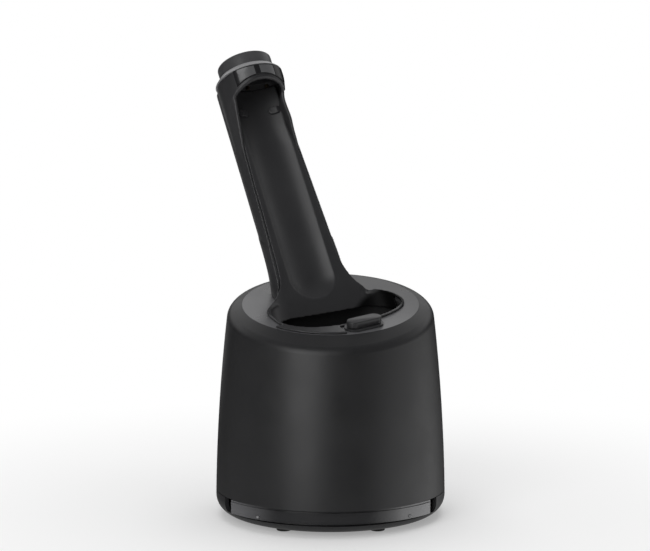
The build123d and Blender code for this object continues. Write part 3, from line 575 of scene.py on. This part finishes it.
# patches that are pushed: the head's right side, the arm's right side under it, the rim by the right wing
headPush = {"frame": armFrame, "spot": (18.1, -4.5, 122.2), "reach": 14.0, "shift": (-2.8, 0, 0)}
sidePush = {"frame": armFrame, "spot": (18.4, 4.0, 109.0), "reach": 16.0, "shift": (-1.3, 0, 0)}
rimPush = {"frame": deckFrame, "spot": (26.6, 8.3, 0.9), "reach": 5.0, "shift": (0, 0, -1.4)}


# the shift fades out with distance
def nudge(piece, push):
    spot = push["frame"] @ (Vector(push["spot"]) * mm)
    shift = push["frame"].to_3x3() @ (Vector(push["shift"]) * mm)
    for vertex in piece.data.vertices:
        near = max(0.0, 1 - (vertex.co - spot).length / (push["reach"] * mm))
        vertex.co += shift * (near * near * (3 - 2 * near))


# fills the corner between the head's lip and the arm's side
def makeFairing(side):
    points = []
    for angle in skinSet["angles"]:
        turned = math.radians(side * angle)
        for radius in skinSet["radii"]:
            x = frameSet["headAcross"] + radius * math.sin(turned)
            y = frameSet["headBack"] - radius * math.cos(turned)
            points.append((x, y, skinSet["lip"] - skinSet["lipSlope"] * y))
    points.extend((side * x, y, skinSet["low"]) for x, y in skinSet["lowEdge"])
    shape = bpy.data.meshes.new("fairing")
    shape.from_pydata([Vector(point) * mm for point in points], [], [])
    piece = bpy.data.objects.new("fairing", shape)
    bpy.context.scene.collection.objects.link(piece)
    startEdit(piece)
    bpy.ops.mesh.select_mode(type="VERT")
    bpy.ops.mesh.select_all(action="SELECT")
    bpy.ops.mesh.convex_hull()
    endEdit()
    placeIn(piece, armFrame)
    return piece


def makeArmSkin():
    piece = solidCopy("armSkin", skinSet["nodes"][0])
    joinPieces(piece, [solidCopy("headFront", skinSet["nodes"][1]), makeFairing(-1), makeFairing(1)])
    soften(piece, skinSet)
    nudge(piece, headPush)
    nudge(piece, sidePush)
    panel = bpy.data.objects["armPanel"]
    nudge(panel, sidePush)
    nudge(panel, rimPush)
    piece.data.materials.clear()
    piece.data.materials.append(finishes[skinSet["finish"]])
    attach(piece, skinSet["body"])
    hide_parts(*skinSet["nodes"])


makeArmSkin()


def makeRound(name, spec):
    piece = ringStack(name, spec["rings"], spec["sides"], spec["tube"])
    placeIn(piece, headFrame)
    smoothBy(piece, spec["crease"])
    dressPiece(piece, spec)


# start button: a shallow dish in its top, a rounded rim and a flange under the ring
buttonSet = {
    "node": "start_button", "body": "start_button", "slot": "button_plastic", "finish": ["buttonSatin"],
    "sides": 180, "tube": False, "crease": 35,
    "rings": [
        (14.2, 139.3), (16.7, 139.3), (16.7, 140.7), (16.0, 140.7), (16.0, 149.2), (15.9, 149.75),
        (15.6, 150.1), (15.1, 150.3), (14.4, 150.34), (13.6, 150.26), (12.0, 149.95), (9.0, 149.6),
        (5.0, 149.45), (1.0, 149.4),
    ],
}
makeRound("pressButton", buttonSet)


# light ring: a sloping band with a rolled lower edge, stepped inside for the button's flange
lightSet = {
    "node": "light_ring", "body": "housing", "slot": "light_plastic", "finish": ["lightFrost"],
    "sides": 180, "tube": True, "crease": 35,
    "rings": [
        (17.0, 139.0), (19.6, 139.0), (19.9, 139.1), (20.0, 139.35), (19.85, 139.65), (17.5, 142.2),
        (17.25, 142.37), (17.0, 142.4), (16.5, 142.4), (16.35, 142.3), (16.3, 142.1), (16.3, 141.0),
        (17.0, 141.0),
    ],
}
makeRound("lightBand", lightSet)


# fascia: a thin glossy skin cut from a ring, with two panels let into it whose lighter grey is painted
# reflection
fasciaSet = {
    "node": "head_fascia", "body": "housing", "slot": "fascia_plastic",
    "finish": ["fasciaGloss", "fasciaPanelPaintedReflection"], "sides": 180, "crease": 30,
    "rings": [(19.45, 112.0), (20.0, 112.0), (20.0, 138.75), (19.85, 138.95), (19.45, 138.95)],
    "sector": (-47.0, 64.0), "lip": 120.9, "lipSlope": 0.6,
    "rows": (122.0, 124.0, 126.0, 128.0, 130.0, 132.0, 134.0, 136.0),
    "panels": ((-41.0, -9.5), (-2.0, 27.0)), "panelRadius": 19.95, "panelSlope": 0.2,
    "border": 0.35, "depth": 0.08,
}


def cutAway(place, normal):
    bpy.ops.mesh.select_all(action="SELECT")
    bpy.ops.mesh.bisect(plane_co=place, plane_no=normal, clear_outer=True, use_fill=True)


def angleRound(point):
    return math.degrees(math.atan2(point.x, -point.y))


def makeFascia():
    piece = ringStack("headFascia", fasciaSet["rings"], fasciaSet["sides"], True)
    startEdit(piece)
    leftEnd, rightEnd = (math.radians(angle) for angle in fasciaSet["sector"])
    cutAway((0, 0, 0), (-math.cos(leftEnd), -math.sin(leftEnd), 0))
    cutAway((0, 0, 0), (math.cos(rightEnd), math.sin(rightEnd), 0))
    cutAway((0, 0, fasciaSet["lip"] * mm), (0, -fasciaSet["lipSlope"], -1))
    for height in fasciaSet["rows"]:
        bpy.ops.mesh.select_all(action="SELECT")
        bpy.ops.mesh.bisect(plane_co=(0, 0, height * mm), plane_no=(0, 0, 1))
    for angle in (edge for panel in fasciaSet["panels"] for edge in panel):
        bpy.ops.mesh.select_all(action="SELECT")
        side = math.radians(angle)
        bpy.ops.mesh.bisect(plane_co=(0, 0, 0), plane_no=(math.cos(side), math.sin(side), 0))
    for finishName in fasciaSet["finish"]:
        piece.data.materials.append(finishes[finishName])
    piece.active_material_index = fasciaSet["finish"].index("fasciaPanelPaintedReflection")
    for low, high in fasciaSet["panels"]:
        pickParts(piece, "FACE", lambda face: (
            low < angleRound(face.calc_center_median()) < high
            and face.calc_center_median().xy.length > fasciaSet["panelRadius"] * mm
            and abs(face.normal.z) < fasciaSet["panelSlope"]
        ))
        bpy.ops.mesh.inset(thickness=fasciaSet["border"] * mm, depth=-fasciaSet["depth"] * mm)
        bpy.ops.object.material_slot_assign()
    endEdit()
    placeIn(piece, headFrame)
    nudge(piece, headPush)
    smoothBy(piece, fasciaSet["crease"])
    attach(piece, fasciaSet["body"])
    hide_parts(fasciaSet["node"])


makeFascia()
print("head dressed")


# rinse spout: a pill-shaped cap on a narrower neck and a flange
spoutSet = {
    "node": "rinse_spout", "body": "housing", "slot": "arm_plastic", "finish": ["armMatt"], "crease": 40,
    "front": 40.0, "turn": 6.0, "length": 22.6, "width": 10.6, "flangeHeight": 1.1,
    "corner": 0.495, "cornerSteps": 12, "neckIn": 1.9, "neckHeight": 0.6,
    "capWider": 1.14, "capLonger": 1.08, "capHeight": 2.5,
    "capRound": ((0.3, 0.985), (0.22, 0.96), (0.1, 0.93)),
}


def topFace(piece):
    pickParts(piece, "FACE", lambda face: face.normal.z > stepSet["facingUp"])
    shape = bmesh.from_edit_mesh(piece.data)
    highest = max(face.calc_center_median().z for face in shape.faces if face.select)
    level = highest - stepSet["levelGap"] * mm
    pickParts(piece, "FACE", lambda face: (
        face.normal.z > stepSet["facingUp"] and face.calc_center_median().z > level
    ))


def riseBy(height):
    bpy.ops.mesh.extrude_region_move(TRANSFORM_OT_translate={"value": (0, 0, height * mm)})


def makeSpout():
    bpy.ops.object.select_all(action="DESELECT")
    bpy.ops.mesh.primitive_cube_add(size=1)
    piece = bpy.context.object
    piece.name = "spoutCap"
    startEdit(piece)
    bpy.ops.mesh.select_all(action="SELECT")
    bpy.ops.transform.translate(value=(0, 0, 0.5))
    size = (spoutSet["length"] * mm, spoutSet["width"] * mm, spoutSet["flangeHeight"] * mm)
    bpy.ops.transform.resize(value=size, center_override=(0, 0, 0))
    upright = spoutSet["flangeHeight"] / 2 * mm
    pickParts(piece, "EDGE", lambda edge: abs(edge.verts[0].co.z - edge.verts[1].co.z) > upright)
    corner = spoutSet["corner"] * spoutSet["width"] * mm
    bpy.ops.mesh.bevel(offset=corner, segments=spoutSet["cornerSteps"])
    topFace(piece)
    bpy.ops.mesh.inset(thickness=spoutSet["neckIn"] * mm)
    riseBy(spoutSet["neckHeight"])
    topFace(piece)
    bpy.ops.transform.resize(value=(spoutSet["capLonger"], spoutSet["capWider"], 1))
    riseBy(spoutSet["capHeight"])
    for upwards, share in spoutSet["capRound"]:
        riseBy(upwards)
        bpy.ops.transform.resize(value=((1 + share) / 2, share, 1))
    endEdit()
    spin = Matrix.Rotation(math.radians(spoutSet["turn"]), 4, "Z")
    placeIn(piece, deckFrame @ Matrix.Translation((0, -spoutSet["front"] * mm, 0)) @ spin)
    smoothBy(piece, spoutSet["crease"])
    dressPiece(piece, spoutSet)


makeSpout()


# rubber feet: round pads with a hollow underneath, four outside and a wide one in the middle
feetSet = {
    "node": "feet", "body": "base", "slot": "foot_rubber", "finish": ["footRubber"],
    "sides": 64, "crease": 40, "reach": 49.3, "angles": (60, 120, 240, 300), "padWider": 8.0,
    "rings": [
        (3.9, 1.8), (4.0, 1.7), (4.0, 0.5), (3.8, 0.12), (3.4, 0.0), (2.4, 0.0), (2.1, 0.35), (0.6, 0.4),
    ],
}


def makeFeet():
    feet = []
    reach = feetSet["reach"] * mm
    for angle in feetSet["angles"]:
        foot = ringStack("foot", feetSet["rings"], feetSet["sides"], False)
        place = math.radians(angle)
        placeIn(foot, Matrix.Translation((math.cos(place) * reach, math.sin(place) * reach, 0)))
        feet.append(foot)
    padRings = [(radius + feetSet["padWider"], height) for radius, height in feetSet["rings"]]
    pad = ringStack("rubberFeet", padRings, feetSet["sides"], False)
    joinPieces(pad, feet)
    smoothBy(pad, feetSet["crease"])
    dressPiece(pad, feetSet)


makeFeet()


# cartridge tabs: two small rounded catches on the lower edge of the strip
tabSet = {
    "node": None, "body": "base", "slot": "cartridge_plastic", "finish": ["lightFrost"], "crease": 40,
    "size": (1.7, 1.6, 1.3), "round": 0.4, "roundSteps": 4, "height": 8.0, "places": (-38.2, 41.8),
    "arcRadius": 66.0, "arcCentre": 6.5,
}


def makeTab(sideways):
    bpy.ops.object.select_all(action="DESELECT")
    bpy.ops.mesh.primitive_cube_add(size=1)
    tab = bpy.context.object
    tab.name = "stripTab"
    startEdit(tab)
    bpy.ops.mesh.select_all(action="SELECT")
    bpy.ops.transform.resize(value=[length * mm for length in tabSet["size"]])
    bpy.ops.mesh.bevel(offset=tabSet["round"] * mm, segments=tabSet["roundSteps"], affect="EDGES")
    endEdit()
    bearing = math.asin(sideways / tabSet["arcRadius"])
    front = tabSet["arcCentre"] - tabSet["arcRadius"] * math.cos(bearing)
    place = Matrix.Translation((sideways * mm, front * mm, tabSet["height"] * mm))
    placeIn(tab, place @ Matrix.Rotation(bearing, 4, "Z"))
    return tab


def makeTabs():
    first, second = (makeTab(sideways) for sideways in tabSet["places"])
    first.name = "stripTabs"
    joinPieces(first, [second])
    smoothBy(first, tabSet["crease"])
    dressPiece(first, tabSet)


makeTabs()
print("base dressed")


# small springs behind the pins and the buttons: each is copied from its solid, shaded smooth, given steel
# and hung on the housing
springCrease = 35
springSet = {
    "pinSpringLeft": {
        "node": "contact_spring_left", "joint": "contact_left_press", "way": along, "travel": 1.25,
    },
    "pinSpringRight": {
        "node": "contact_spring_right", "joint": "contact_right_press", "way": along, "travel": 1.25,
    },
    "startSpring": {
        "node": "button_spring", "joint": "start_press", "way": -along, "travel": 1.2,
    },
    "liftSpring": {
        "node": "lift_button_spring", "joint": "lift_press", "way": Vector((0, -1, 0)), "travel": 2.55,
    },
}


def makeSpring(name, spec):
    piece = solidCopy(name, spec["node"])
    smoothBy(piece, springCrease)
    piece.data.materials.clear()
    piece.data.materials.append(finishes["turnedSteel"])
    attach(piece, "housing")
    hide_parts(spec["node"])
    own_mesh(piece)


for springName, springSpec in springSet.items():
    makeSpring(springName, springSpec)
print("springs dressed")


bpy.context.scene.view_settings.view_transform = "Standard"
